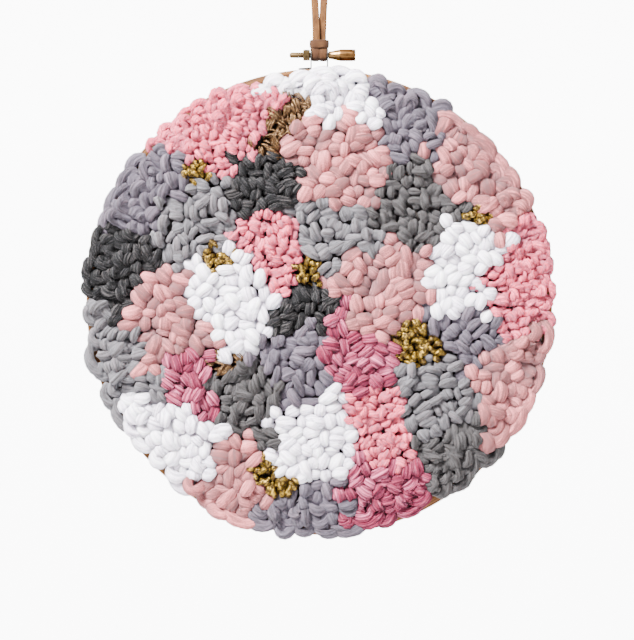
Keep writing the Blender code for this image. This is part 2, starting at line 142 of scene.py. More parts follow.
# Screw
SHANK_RADIUS = 1.6 * MM  # 0.1 mm more than the solid's, because the bright wall eats its edges
THREAD_PITCH = 0.5 * MM
THREAD_DEPTH = 0.13 * MM
NECK_X = 5.25 * MM
NECK_END_X = 11.4 * MM
SLOT_WIDTH = 0.9 * MM
SLOT_DEPTH = 1.3 * MM
# Neck and knob: place along the screw and radius, in millimetres
KNOB_SECTION = (
    (5.25, 1.35),
    (5.26, 2.05),
    (5.38, 2.15),
    (6.45, 2.15),
    (7.4, 2.30),
    (8.4, 2.55),
    (9.5, 2.80),
    (10.6, 3.02),
    (11.35, 3.14),
    (11.45, 3.22),
    (11.7, 3.28),
    (12.2, 3.30),
    (18.6, 3.30),
    (18.75, 3.12),
    (19.0, 3.12),
    (19.15, 3.30),
    (19.7, 3.30),
    (19.95, 3.22),
    (20.12, 3.05),
    (20.2, 2.85),
    (20.2, 1.2),
)

# Yarn pile
PILE_BASE_Y = -6.1 * MM
FOOT_HEIGHT = 1.2 * MM  # of a loop's feet in front of that
GRID_ROW = 0.866  # from row to row of loops, in spacings
SCATTER = 0.14  # how far the loops stray from the rows, in spacings
RIM_YARN_REACH = 0.126  # the rim row takes the yarn of the patch at this radius
ROOT_LIMIT = 0.1180  # roots stay inside the inner ring, and the outer loops lean out over the wood
LEAN_START = 0.098
RIM_REACH = 0.1314
GAP_SHARE = 0.78  # a place this many spacings from every loop gets one more
RIM_LENGTH = 1.6  # loops of the rim row are this many times as long as the others, and overlap
RIM_STEP = 1.0  # their spacing, as a share of a usual loop's length
# Where slivers of wood show: middle and half width in degrees, and how far the loops draw back
WOOD_SHOWS = (
    (101, 8, 4.6 * MM),
    (74.5, 8, 2.6 * MM),
    (44.5, 11, 2.6 * MM),
    (222, 7, 2.6 * MM),
    (293, 11, 2.6 * MM),
)
CROWD_ROUNDS = 80
CROWD_PACE = 0.10  # how much of each push a round gives way to
CROWD_REACH = 16 * MM  # only loops whose middles are nearer than this push each other
CROWD_SHARE = 0.82  # loops press into each other by the rest
RIDERS = 0.16  # share of the loops that lie on top of their neighbours
RIDER_SHARE = 0.60
STITCH_THICKNESS = 0.9 * MM
SEED = 5
# Slow lumps round and along a yarn: share of the radius, lumps round it, how far chance turns them,
# and turns in radians a metre
LUMPS = (
    (0.06, 2, 1, 330),
    (0.05, 3, -2, -520),
    (0.04, 4, 3, 900),
)

Yarn = namedtuple("Yarn", "thick long apart plies turns groove rise around stations wander uneven")
# Sizes in millimetres. Turns are the plies' turns a centimetre, and groove is how deep the plies part.
YARNS = {
    "blush": Yarn(7.4, 12.4, 7.05, 1, 0.05, 0.0, 10.6, 16, 14, 0.45, 0.22),
    "coral": Yarn(5.4, 9.2, 5.5, 3, 0.95, 0.80, 10.0, 17, 16, 0.80, 0.20),
    "rose": Yarn(7.6, 11.8, 7.15, 6, 0.06, 0.90, 10.4, 30, 13, 0.40, 0.16),
    "white": Yarn(7.2, 11.2, 6.8, 1, 0.10, 0.0, 10.8, 16, 14, 0.75, 0.20),
    "silver": Yarn(7.3, 12.2, 7.0, 2, 0.20, 0.55, 10.3, 18, 15, 0.55, 0.22),
    "grey": Yarn(7.1, 12.0, 6.95, 3, 0.36, 0.80, 10.4, 21, 16, 0.60, 0.22),
    "lavender": Yarn(7.5, 12.2, 7.05, 2, 0.14, 0.45, 10.4, 18, 14, 0.55, 0.22),
    "charcoal": Yarn(6.6, 11.4, 6.5, 3, 0.45, 0.70, 10.0, 21, 16, 0.65, 0.20),
    "gold": Yarn(3.4, 7.6, 3.8, 1, 1.3, 0.0, 9.8, 11, 28, 1.4, 0.15),
    "bronze": Yarn(4.8, 10.0, 4.9, 1, 0.2, 0.0, 9.8, 6, 13, 1.2, 0.15),
}
CORD_YARN = "gold"  # a knitted cord, with a diamond relief
STRAND_YARN = "bronze"  # loose fine strands
STRANDS = 11
STRAND_THICKNESS = 0.75 * MM

# Pale, middle and deep tone of each yarn. The deep tone is also the colour of the painted shade.
YARN_TONES = {
    "blush": ("d37a7c", "6a3e3e", "584b4e"),
    "coral": ("ff768a", "b6384c", "886472"),
    "rose": ("ce6e8c", "701b33", "3c1827"),
    "white": ("ffffff", "eae0ee", "66616c"),
    "silver": ("676064", "363334", "706e73"),
    "grey": ("393636", "211e1e", "4c494a"),
    "lavender": ("5f535d", "2c292e", "665e6a"),
    "charcoal": ("454141", "0e0d12", "040404"),
    "gold": ("9c7c2a", "392d11", "33210e"),
    "bronze": ("7c5c38", "483624", "3a220a"),
}


def paint(code):
    """A linear colour from a six digit colour code."""
    shares = [int(code[k : k + 2], 16) / 255 for k in (0, 2, 4)]
    linear = [s / 12.92 if s <= 0.04045 else ((s + 0.055) / 1.055) ** 2.4 for s in shares]
    return (*linear, 1.0)


# Camera, light and backdrop


def new_object(name, data):
    """An object in the scene's own collection."""
    made = bpy.data.objects.new(name, data)
    bpy.context.collection.objects.link(made)
    return made


def add_camera():
    """The picture is square on, from straight in front of the face."""
    camera_data = bpy.data.cameras.new("camera")
    camera_data.lens = LENS
    camera_data.sensor_width = SENSOR
    camera_data.clip_start = 0.01
    camera = new_object("camera", camera_data)
    distance = VIEW_HEIGHT * LENS / SENSOR
    camera.location = (VIEW_MIDDLE.x, FACE_Y - distance, VIEW_MIDDLE.z)
    camera.rotation_euler = (math.pi / 2, 0, 0)
    bpy.context.scene.camera = camera


def add_lights():
    """A pale even sky and square soft lights."""
    world = bpy.data.worlds.new("studio")
    world.use_nodes = True
    sky = world.node_tree.nodes["Background"].inputs
    sky["Color"].default_value = SKY_COLOUR
    sky["Strength"].default_value = SKY_STRENGTH
    bpy.context.scene.world = world
    for softbox in SOFTBOXES:
        light = bpy.data.lights.new(softbox.name, "AREA")
        light.size = softbox.size
        light.energy = softbox.watts
        box = new_object(softbox.name, light)
        box.location = softbox.place
        box.rotation_euler = (HOOP_MIDDLE - Vector(softbox.place)).to_track_quat("-Z", "Y").to_euler()


def add_backdrop():
    """A pale floor that curves up into a wall, well behind the hoop."""
    outline = [(-BACKDROP_REACH, FLOOR_Z)]
    for step in range(13):
        angle = math.pi / 2 * step / 12
        y = WALL_Y - BACKDROP_BEND + BACKDROP_BEND * math.sin(angle)
        outline.append((y, FLOOR_Z + BACKDROP_BEND - BACKDROP_BEND * math.cos(angle)))
    outline.append((WALL_Y, WALL_TOP))
    points = [(side * BACKDROP_REACH, y, z) for y, z in outline for side in (-1, 1)]
    faces = [(2 * k, 2 * k + 1, 2 * k + 3, 2 * k + 2) for k in range(len(outline) - 1)]
    mesh = bpy.data.meshes.new("backdrop")
    mesh.from_pydata(points, [], faces)
    mesh.shade_smooth()
    finish = {"Base Color": (0.92, 0.92, 0.92, 1), "Roughness": 0.9, "Emission Color": (1, 1, 1, 1)}
    paper, tree, shader = new_material("backdrop_paper", finish)
    place = add_node(tree, "TexCoord").outputs["Object"]
    depth = add_node(tree, "SeparateXYZ", {0: place}).outputs[1]
    glow = spread(tree, depth, GLOW_START_Y, WALL_Y, 0.0, WALL_GLOW)
    tree.links.new(glow, shader["Emission Strength"])
    mesh.materials.append(paper)
    new_object("backdrop", mesh)


# Meshes of closed tubes: yarn, strands, straps, rings and turned metal


def joined_tubes(name, batches):
    """One mesh of many closed tubes, as an object.

    A batch is (points, along, tone). points is (tubes, stations, around, 3). along is (tubes, stations),
    the distance in metres from the tube's start. tone is (tubes, stations, around, 3): a chance value of
    the tube, the height in the pile from 0 to 1, and 1 on the crest of a ply and 0 in its groove.
    """
    co = []
    uv = []
    tones = []
    corners = []
    starts = []
    first_corner = 0
    first_point = 0
    for points, along, tone in batches:
        tubes, stations, around, _ = points.shape
        index = first_point + np.arange(tubes * stations * around).reshape(tubes, stations, around)
        beside = np.roll(index, -1, axis=2)
        sides = np.stack([index[:, :-1], beside[:, :-1], beside[:, 1:], index[:, 1:]], axis=-1)
        sides = sides.reshape(-1, 4)
        caps = np.concatenate([index[:, 0, ::-1], index[:, -1]])
        corners += [sides.ravel(), caps.ravel()]
        starts.append(first_corner + np.arange(len(sides)) * 4)
        starts.append(first_corner + len(sides) * 4 + np.arange(len(caps)) * around)
        first_corner += sides.size + caps.size
        first_point += index.size
        turn = np.arange(around + 1) / around
        left, right = turn[:-1], turn[1:]
        near, far = along[:, :-1, None] * 100, along[:, 1:, None] * 100
        around_face = np.broadcast_arrays(left, near, right, near, right, far, left, far)
        uv.append(np.stack(around_face, axis=-1).ravel())
        uv.append(np.zeros(caps.size * 2))
        co.append(points.ravel())
        full = np.ones((tubes, stations, around, 4))
        full[..., :3] = tone
        tones.append(full.ravel())
    corners = np.concatenate(corners)
    starts = np.concatenate(starts)
    mesh = bpy.data.meshes.new(name)
    mesh.vertices.add(first_point)
    mesh.vertices.foreach_set("co", np.concatenate(co))
    mesh.loops.add(len(corners))
    mesh.loops.foreach_set("vertex_index", corners)
    mesh.polygons.add(len(starts))
    mesh.polygons.foreach_set("loop_start", starts)
    mesh.update(calc_edges=True)
    mesh.uv_layers.new(name="run").data.foreach_set("uv", np.concatenate(uv))
    shade = mesh.attributes.new("tone", "FLOAT_COLOR", "POINT")
    shade.data.foreach_set("color", np.concatenate(tones))
    mesh.shade_smooth()
    return new_object(name, mesh)


def lengths_along(lines):
    """Distance of each station from its line's start."""
    steps = np.linalg.norm(np.diff(lines, axis=1), axis=2)
    return np.concatenate([np.zeros((len(lines), 1)), np.cumsum(steps, axis=1)], axis=1)


def unit(vectors):
    return vectors / np.maximum(np.linalg.norm(vectors, axis=-1, keepdims=True), 1e-9)


def plain_tone(points, height=1.0):
    """The same tone all over a tube that isn't part of the pile."""
    tone = np.ones(points.shape)
    tone[..., 0] = 0.5
    tone[..., 1] = height
    return tone


def from_middle(across, level, up):
    """Points from their distances to the right of the hoop's middle and above it, and their y."""
    return np.stack(np.broadcast_arrays(HOOP_MIDDLE.x + across, level, HOOP_MIDDLE.z + up), axis=-1)


def headings(angles):
    """Directions in the plane of the face."""
    return np.stack([np.cos(angles), np.sin(angles)], axis=1)


def level_sides(heading):
    """Side directions of what runs along the headings."""
    return np.stack([-heading[:, 1], np.zeros(len(heading)), heading[:, 0]], axis=1)


def lie_square(lines, sides):
    """Side and inward directions at each station, square to the line."""
    tangent = unit(np.gradient(lines, axis=1))
    side = unit(sides - (sides * tangent).sum(-1, keepdims=True) * tangent)
    return side, np.cross(side, tangent)


def ply_outline(angle, plies, groove):
    """Radius share round a yarn of twisted plies, which bulge and part by the groove."""
    if plies == 1:
        return np.ones_like(angle)
    step = 2 * math.pi / plies
    off = (angle + step / 2) % step - step / 2
    ply = 1 / (1 + 1 / math.sin(math.pi / plies))
    middle = 1 - ply
    inside = np.maximum(ply**2 - (middle * np.sin(off)) ** 2, 0)
    return 1 - groove * (1 - middle * np.cos(off) - np.sqrt(inside))


def cord_outline(around, along):
    """Radius share round a knitted cord: small bumps in slanted rows both ways."""
    turns = 2 * math.pi * 300 * along[..., None]
    return 0.90 + 0.13 * np.sin(3 * around + turns) * np.sin(3 * around - turns)


def yarn_tubes(lines, sides, radii, yarn, chance, knitted=False):
    """Points, distances along and ply crests of the tubes round the lines."""
    along = lengths_along(lines)
    side, inward = lie_square(lines, sides[:, None, :])
    around = 2 * math.pi * np.arange(yarn.around) / yarn.around
    around = np.broadcast_to(around, (*along.shape, yarn.around))
    twist = 2 * math.pi * (yarn.turns * along * 100 + chance[:, None])
    if knitted:
        outline = cord_outline(around, along)
    else:
        outline = ply_outline(around + twist[..., None], yarn.plies, yarn.groove)
    wave = chance[:, None, None] * 6.3
    lump = 0
    for share, count, turned, pace in LUMPS:
        lump = lump + share * np.sin(count * around + turned * wave + pace * along[..., None])
    ring = radii[..., None] * outline * (1 + lump)
    spoke = np.cos(around)[..., None] * inward[:, :, None] + np.sin(around)[..., None] * side[:, :, None]
    low = outline.min()
    crest = (outline - low) / max(1 - low, 1e-6) if low < 0.99 else np.ones_like(outline)
    return lines[:, :, None] + ring[..., None] * spoke, along, crest


# Where the loops stand


def pile_finder():
    """A function that gives the yarn of the patch under a place on the face."""
    corners = []
    faces = []
    owner = []
    for name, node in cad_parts.items():
        if not name.startswith("pile_"):
            continue
        start = len(corners)
        corners.extend(v.co.copy() for v in node.data.vertices)
        for polygon in node.data.polygons:
            faces.append([start + k for k in polygon.vertices])
            owner.append(name.split("_")[1])
    tree = BVHTree.FromPolygons(corners, faces)

    def yarn_at(x, z):
        place = Vector((x, PILE_BASE_Y - 4 * MM, z)) + HOOP_MIDDLE
        return owner[tree.find_nearest(place)[2]]

    return yarn_at


def rim_reach(angle):
    """How far the loops reach over the rings, less where slivers of wood show."""
    degrees = np.degrees(angle) % 360
    reach = np.full_like(degrees, RIM_REACH)
    for middle, half, dip in WOOD_SHOWS:
        off = np.abs((degrees - middle + 180) % 360 - 180)
        reach -= dip * np.clip((half + 3 - off) / 3, 0, 1)
    return reach


def rim_row(yarn_at):
    """Loops laid end to end along the rim, which give the smooth outline."""
    row = []
    angle = 0.0
    while angle < 2 * math.pi:
        heading = np.array([math.cos(angle), math.sin(angle)])
        name = yarn_at(*(RIM_YARN_REACH * heading))
        yarn = YARNS[name]
        step = RIM_STEP * yarn.long * MM / RIM_REACH
        middle = angle + step / 2
        out = float(rim_reach(np.array([middle]))[0]) - yarn.thick * MM * 0.42
        row.append((out * math.cos(middle), out * math.sin(middle), name))
        angle += step
    return row


def scattered_loops(yarn_at, rng):
    """Loop middles on the face, by yarn, at each yarn's own spacing, and which ones are in the rim row."""
    row = rim_row(yarn_at)
    places = [place[:2] for place in row]
    names = [place[2] for place in row]
    for name, yarn in YARNS.items():
        apart = yarn.apart * MM
        rows = int(RIM_REACH / (apart * GRID_ROW)) + 1
        for level in range(-rows, rows + 1):
            for column in range(-rows - 2, rows + 3):
                x = (column + 0.5 * (level % 2)) * apart + rng.normal(0, SCATTER) * apart
                z = level * GRID_ROW * apart + rng.normal(0, SCATTER) * apart
                if math.hypot(x, z) < RIM_REACH - yarn.thick * MM * 1.15 and yarn_at(x, z) == name:
                    places.append((x, z))
                    names.append(name)
    fill_gaps(places, names, yarn_at)
    on_rim = np.arange(len(names)) < len(row)
    return np.array(places), np.array(names), on_rim


def fill_gaps(places, names, yarn_at):
    """Adds loops where patches meet and would leave the cloth bare."""
    line = np.arange(-RIM_REACH, RIM_REACH, 2 * MM)
    spots = np.array([(x, z) for x in line for z in line if math.hypot(x, z) < RIM_REACH - 8 * MM])
    closest = min(yarn.apart for yarn in YARNS.values()) * MM
    for spot in spots:
        nearest = np.linalg.norm(np.array(places) - spot, axis=1).min()
        if nearest < GAP_SHARE * closest:
            continue
        name = yarn_at(*spot)
        if nearest > GAP_SHARE * YARNS[name].apart * MM:
            places.append(tuple(spot))
            names.append(name)


def lie_of_yarn(places):
    """The direction in which the rows of loops lie, which drifts over the face."""
    x, z = places[:, 0], places[:, 1]
    return 2.2 * np.sin(31 * x + 1.0) * np.cos(27 * z) + 1.7 * np.sin(46 * z - 22 * x)


def lean_share(places):
    """0 where the loops stand straight, 1 at the rim, where they lie over the wood."""
    out = np.linalg.norm(places, axis=1)
    return np.clip((out - LEAN_START) / (RIM_REACH - LEAN_START), 0, 1)


def crowd(places, angles, halves, radii, on_rim):
    """Push the loops apart and turn them until they lie side by side, as crowded yarn does."""
    count = len(places)
    for round_number in range(CROWD_ROUNDS):
        if round_number % 10 == 0:
            gaps = np.linalg.norm(places[:, None] - places[None], axis=2)
            first, second = np.nonzero(np.triu(gaps < CROWD_REACH, k=1))
            touch = (radii[first] + radii[second])[:, None, None]
        arms = np.array([-1, 0, 1])[None, :, None] * (halves[:, None] * headings(angles))[:, None]
        spots = places[:, None] + arms
        gaps = spots[first][:, :, None] - spots[second][:, None]
        distance = np.maximum(np.linalg.norm(gaps, axis=-1), 1e-6)
        push = gaps / distance[..., None] * np.clip(touch - distance, 0, None)[..., None]
        shift = np.zeros((count, 2))
        spin = np.zeros(count)
        for owner, force in ((first, push.sum(2)), (second, -push.sum(1))):
            total = force.sum(1)
            arm = arms[owner]
            turn = (arm[..., 0] * force[..., 1] - arm[..., 1] * force[..., 0]).sum(1)
            for axis in (0, 1):
                shift[:, axis] += np.bincount(owner, total[:, axis], count)
            spin += np.bincount(owner, turn, count)
        out = np.linalg.norm(spots, axis=-1)
        limit = rim_reach(np.arctan2(spots[..., 1], spots[..., 0])) - radii[:, None]
        back = -spots / np.maximum(out, 1e-6)[..., None] * np.clip(out - limit, 0, None)[..., None]
        shift += 1.2 * back.sum(1)
        spin += (arms[..., 0] * back[..., 1] - arms[..., 1] * back[..., 0]).sum(1)
        level = np.arctan2(places[:, 1], places[:, 0]) + math.pi / 2
        angles = angles + CROWD_PACE * spin / (halves**2 + 1e-6)
        along_rim = 0.3 * on_rim + 0.06 * lean_share(places) ** 2
        angles = angles + along_rim * np.sin(2 * (level - angles))
        places = places + CROWD_PACE * shift
    return places, angles


def loop_roots(places):
    """Where the loops are rooted: the outer ones are drawn in, inside the inner ring."""
    out = np.linalg.norm(places, axis=1)
    share = (ROOT_LIMIT - LEAN_START) / (RIM_REACH - LEAN_START)
    rooted = np.where(out > LEAN_START, LEAN_START + (out - LEAN_START) * share, out)
    return places * (rooted / np.maximum(out, 1e-6))[:, None]


Loops = namedtuple("Loops", "places angles halves radii rises bows chance")


def loop_lines(loops, stations):
    """Centrelines of the loops from root to root, their level side directions and the climb share."""
    t = np.linspace(-1, 1, stations)
    climb = np.cos(t * math.pi / 2).clip(0) ** 0.8
    swing = np.sin(0.75 * math.pi * t)
    heading = headings(loops.angles)
    sides = level_sides(heading)
    roots = loop_roots(loops.places)
    flat = roots[:, None] + (loops.places - roots)[:, None] * climb[None, :, None]
    flat = flat + heading[:, None] * (loops.halves[:, None] * swing)[..., None]
    bend = loops.bows[:, None] * (climb**2 + 0.5 * climb * np.sin(2 * t + 6 * loops.chance[:, None]))
    flat = flat + sides[:, None, ::2] * bend[..., None]
    lopsided = 1 + 0.22 * np.sin(math.pi * t) * np.sin(11 * loops.chance[:, None])
    level = PILE_BASE_Y - FOOT_HEIGHT - loops.rises[:, None] * climb * lopsided
    return from_middle(flat[..., 0], level, flat[..., 1]), sides, climb


def rim_fall(places):
    """Share of the full height, which falls towards the rim."""
    return 1 - 0.30 * lean_share(places) ** 2.5


def pile_tone(chance, points, top, crest):
    """Tone of the pile: the height is 0 at the cloth and 1 at the top of the yarn's loops, and sets the
    painted shade low in the pile.
    """
    tone = np.empty(points.shape)
    tone[..., 0] = chance[:, None, None]
    tone[..., 1] = np.clip((PILE_BASE_Y - points[..., 1]) / top[:, None, None], 0, 1)
    tone[..., 2] = crest
    return tone


def loop_batch(name, loops):
    """The loops of one yarn as tubes."""
    yarn = YARNS[name]
    lines, sides, climb = loop_lines(loops, yarn.stations)
    waist = 0.10 * np.sin(2.6 * np.linspace(-1, 1, yarn.stations) + 9 * loops.chance[:, None])
    plump = loops.radii[:, None] * (0.52 + 0.48 * climb**0.70) * (1 + waist * climb)
    points, along, crest = yarn_tubes(lines, sides, plump, yarn, loops.chance, name == CORD_YARN)
    top = yarn.rise * MM * rim_fall(loops.places)
    return points, along, pile_tone(loops.chance, points, top, crest)


def strand_batch(name, loops, rng):
    """Bundles of fine loose strands that follow the loops side by side."""
    yarn = YARNS[name]
    lines, sides, climb = loop_lines(loops, yarn.stations)
    side, inward = lie_square(lines, sides[:, None, :])
    all_lines = []
    for _ in range(STRANDS):
        angle = rng.uniform(0, 2 * math.pi, len(lines))[:, None]
        reach = loops.radii[:, None] * np.sqrt(rng.uniform(0.15, 1.0, len(lines)))[:, None]
        swell = 0.5 + 0.5 * climb + rng.normal(0, 0.10, lines.shape[:2])
        drift = angle + 1.2 * np.linspace(-1, 1, yarn.stations)
        off_side = (reach * swell * np.cos(drift))[..., None] * side
        off_in = (reach * swell * np.sin(drift))[..., None] * inward
        all_lines.append(lines + off_side + off_in)
    lines = np.concatenate(all_lines)
    chance = rng.uniform(0, 1, len(lines))
    radii = np.full(lines.shape[:2], STRAND_THICKNESS / 2)
    points, along, crest = yarn_tubes(lines, np.tile(sides, (STRANDS, 1)), radii, yarn, chance)
    top = np.tile(yarn.rise * MM * rim_fall(loops.places), STRANDS)
    return points, along, pile_tone(chance, points, top, crest)


def stitch_batch(name, loops, rng):
    """The flat stitches on the cloth's back, one for each loop."""
    yarn = YARNS[name]._replace(around=7, turns=0.3, plies=1)
    roots = loop_roots(loops.places)
    angles = lie_of_yarn(roots) + rng.normal(0, 0.15, len(roots))
    t = np.linspace(-1, 1, 5)
    heading = headings(angles)
    reach = yarn.apart * MM * 0.55
    flat = roots[:, None] + heading[:, None] * (t * reach)[None, :, None]
    out = np.linalg.norm(flat, axis=-1, keepdims=True)
    flat = flat * np.minimum(1, (ROOT_LIMIT - 1.0 * MM) / np.maximum(out, 1e-6))
    arch = np.sqrt(1 - t**2).clip(0.05)
    back = CLOTH_BACK_Y + 0.2 * MM
    lines = from_middle(flat[..., 0], back, flat[..., 1])
    radii = loops.radii[:, None] * 0.72 * (0.35 + 0.65 * arch)
    points, along, _ = yarn_tubes(lines, level_sides(heading), radii, yarn, loops.chance)
    flatten = STITCH_THICKNESS / (YARNS[name].thick * MM / 2)
    points[..., 1] = back + (points[..., 1] - back) * flatten
    points[..., 1] = np.maximum(points[..., 1], CLOTH_BACK_Y - 0.3 * MM)
    tone = plain_tone(points)
    tone[..., 0] = loops.chance[:, None, None]
    return points, along, tone


def make_yarn_pieces():
    """One joined piece for each yarn, which stands for that yarn's patches."""
    rng = np.random.default_rng(SEED)
    places, names, on_rim = scattered_loops(pile_finder(), rng)
    count = len(names)
    thick, long, rise, wander, uneven = (
        np.array([getattr(YARNS[n], column) for n in names])
        for column in ("thick", "long", "rise", "wander", "uneven")
    )
    rider = (rng.uniform(0, 1, count) < RIDERS) & ~on_rim
    radii = thick * MM / 2 * (1 + uneven * rng.uniform(-1, 1, count) * np.where(on_rim, 0.3, 1))
    radii = radii * np.where(on_rim, 0.92, 1)
    long = long * MM * (1 + 1.3 * uneven * rng.uniform(-1, 1, count)) * np.where(on_rim, RIM_LENGTH, 1)
    halves = np.maximum(long / 2 - radii, 1.0 * MM)
    angles = lie_of_yarn(places) + rng.normal(0, 0.9, count) * wander
    level = np.arctan2(places[:, 1], places[:, 0]) + math.pi / 2
    angles = np.where(on_rim, level, angles)
    pressed = radii * np.where(rider, RIDER_SHARE, CROWD_SHARE)
    places, angles = crowd(places, angles, halves, pressed, on_rim)
    rises = rise * MM * (1 - uneven * rng.uniform(0, 1.4, count)) * rim_fall(places)
    rises = rises - radii - FOOT_HEIGHT
    rises = np.where(rider, rise * MM - radii - 0.9 * MM, rises)
    bows = rng.normal(0, 1.4, count) * MM * wander * np.where(on_rim, 0.3, 1)
    chance = rng.uniform(0, 1, count)
    everything = Loops(places, angles, halves, radii, rises, bows, chance)
    for name in YARNS:
        loops = Loops(*(values[names == name] for values in everything))
        if name == STRAND_YARN:
            batches = [strand_batch(name, loops, rng)]
        else:
            batches = [loop_batch(name, loops)]
        batches.append(stitch_batch(name, loops, rng))
        piece = joined_tubes(f"yarn_{name}", batches)
        piece.data.materials.append(yarn_material(name))
        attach(piece, "hoop")
        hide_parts(*[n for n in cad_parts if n.startswith(f"pile_{name}_")])


# Node wiring


def set_inputs(tree, node, inputs):
    """Sets each input, by its name or number, to a value or links it to another node's socket."""
    for key, value in inputs.items():
        if isinstance(value, bpy.types.NodeSocket):
            tree.links.new(value, node.inputs[key])
        else:
            node.inputs[key].default_value = value


def add_node(tree, kind, inputs=None, **settings):
    """A shader node with its settings and inputs."""
    node = tree.nodes.new(f"ShaderNode{kind}")
    for key, value in settings.items():
        setattr(node, key, value)
    set_inputs(tree, node, inputs or {})
    return node


def calc(tree, operation, *values):
    """The result socket of one Math node."""
    return add_node(tree, "Math", dict(enumerate(values)), operation=operation).outputs[0]


def times(tree, first, second):
    return calc(tree, "MULTIPLY", first, second)


def spread(tree, value, low, high, to_low=0.0, to_high=1.0):
    """A value's range mapped smoothly to another."""
    inputs = {"Value": value, "From Min": low, "From Max": high, "To Min": to_low, "To Max": to_high}
    node = add_node(tree, "MapRange", inputs, interpolation_type="SMOOTHSTEP")
    return node.outputs["Result"]


def blend_colours(tree, share, first, second):
    node = add_node(tree, "Mix", {0: share, 6: first, 7: second}, data_type="RGBA")
    return node.outputs[2]


def noise(tree, vector, scale, detail=3.0, roughness=0.55):
    inputs = {"Vector": vector, "Scale": scale, "Detail": detail, "Roughness": roughness}
    return add_node(tree, "TexNoise", inputs).outputs["Fac"]


def new_group(name, inputs, outputs):
    """A node group, its given values and its result node. An input that has no value is a colour."""
    group = bpy.data.node_groups.new(name, "ShaderNodeTree")
    for label, value in inputs.items():
        kind = "Color" if value is None else "Float"
        socket = group.interface.new_socket(name=label, in_out="INPUT", socket_type=f"NodeSocket{kind}")
        if value is not None:
            socket.default_value = value
    for label, kind in outputs.items():
        group.interface.new_socket(name=label, in_out="OUTPUT", socket_type=f"NodeSocket{kind}")
    return group, group.nodes.new("NodeGroupInput").outputs, group.nodes.new("NodeGroupOutput")


def place_group(tree, group, inputs):
    """The outputs of a group placed in a material with its own values."""
    node = tree.nodes.new("ShaderNodeGroup")
    node.node_tree = group
    set_inputs(tree, node, inputs)
    return node.outputs


def tube_run(tree):
    """Share of a turn round a tube, and the distance along it in centimetres."""
    return add_node(tree, "SeparateXYZ", {0: add_node(tree, "UVMap", uv_map="run").outputs[0]}).outputs


def tube_tone(tree):
    """A tube's chance value, its height in the pile and the crest of its plies."""
    tone = add_node(tree, "Attribute", attribute_name="tone").outputs["Color"]
    return add_node(tree, "SeparateColor", {0: tone}).outputs[:3]


def turned_angle(tree, run, winding):
    """Angle round a tube, turned more the further along it is."""
    turned = calc(tree, "MULTIPLY_ADD", winding, run[1], run[0])
    return times(tree, turned, 2 * math.pi)


def tube_place(tree, angle, along, reach=None):
    """A place for a texture that has no seam round a tube."""
    circle = [calc(tree, operation, angle) for operation in ("COSINE", "SINE")]
    if reach is not None:
        circle = [times(tree, share, reach) for share in circle]
    return add_node(tree, "CombineXYZ", dict(enumerate([*circle, along]))).outputs[0]


def fibre_group():
    """Streaks of fibre and strands that run along a yarn and wind round it, and fine fuzz over it."""
    group, given, result = new_group(
        "yarn_fibres",
        {"Fineness": 2.0, "Draw": 0.6, "Winding": 0.2, "Strands": 8.0, "Fuzz Scale": 1800.0},
        {"Streaks": "Float", "Strand": "Float", "Fuzz": "Float"},
    )
    run = tube_run(group)
    chance = tube_tone(group)[0]
    angle = turned_angle(group, run, given["Winding"])
    along = calc(group, "MULTIPLY_ADD", run[1], given["Draw"], times(group, chance, 37.0))
    vector = tube_place(group, angle, along)
    sway = times(group, noise(group, vector, 1.3, 2.0), 6.0)
    wave = calc(group, "COSINE", calc(group, "MULTIPLY_ADD", angle, given["Strands"], sway))
    place = add_node(group, "TexCoord").outputs["Object"]
    made = {
        "Streaks": noise(group, vector, given["Fineness"], 5.0, 0.68),
        "Strand": spread(group, wave, -1.0, 0.4),
        "Fuzz": noise(group, place, given["Fuzz Scale"], 3.0, 0.7),
    }
    set_inputs(group, result, made)
    return group


def off_middle(tree, value, share):
    """How far a value lies from one half, times a share."""
    return times(tree, calc(tree, "SUBTRACT", value, 0.5), share)


def yarn_colour_group():
    """Yarn's colour: paler and darker fibres, and painted shade in the deep tone, in the plies' grooves,
    where the strands part and low in the pile between the loops.
    """
    group, given, result = new_group(
        "yarn_colour",
        {
            "Pale": None,
            "Middle": None,
            "Deep": None,
            "Streaks": 0.5,
            "Streak Share": 1.0,
            "Strand": 1.0,
            "Strand Shade": 0.0,
            "Fuzz": 0.5,
            "Heather": 0.3,
            "Groove Shade": 0.5,
            "Valley Shade": 0.8,
        },
        {"Colour": "Color", "Height": "Float"},
    )
    chance, height, crest = tube_tone(group)
    share = calc(group, "MULTIPLY_ADD", calc(group, "SUBTRACT", chance, 0.5), 0.3, 0.5)
    streak = off_middle(group, given["Streaks"], given["Streak Share"])
    heather = off_middle(group, given["Fuzz"], given["Heather"])
    share = calc(group, "ADD", calc(group, "ADD", share, streak), heather)
    surface = blend_colours(group, spread(group, share, 0.35, 1.0), given["Middle"], given["Pale"])
    low = spread(group, share, 0.45, 0.0, 0.0, 0.7)
    surface = blend_colours(group, low, surface, given["Deep"])
    # painted shade: in the plies' grooves, low in the pile between the loops, and where the strands part
    groove = times(group, spread(group, crest, 0.75, 0.0), given["Groove Shade"])
    valley = times(group, spread(group, height, 1.0, 0.22), given["Valley Shade"])
    parting = times(group, calc(group, "SUBTRACT", 1.0, given["Strand"]), given["Strand Shade"])
    shade = calc(group, "MAXIMUM", calc(group, "MAXIMUM", groove, valley), parting)
    colour = blend_colours(group, shade, surface, given["Deep"])
    relief = calc(group, "MULTIPLY_ADD", given["Fuzz"], 0.5, calc(group, "SUBTRACT", streak, parting))
    set_inputs(group, result, {"Colour": colour, "Height": relief})
    return group


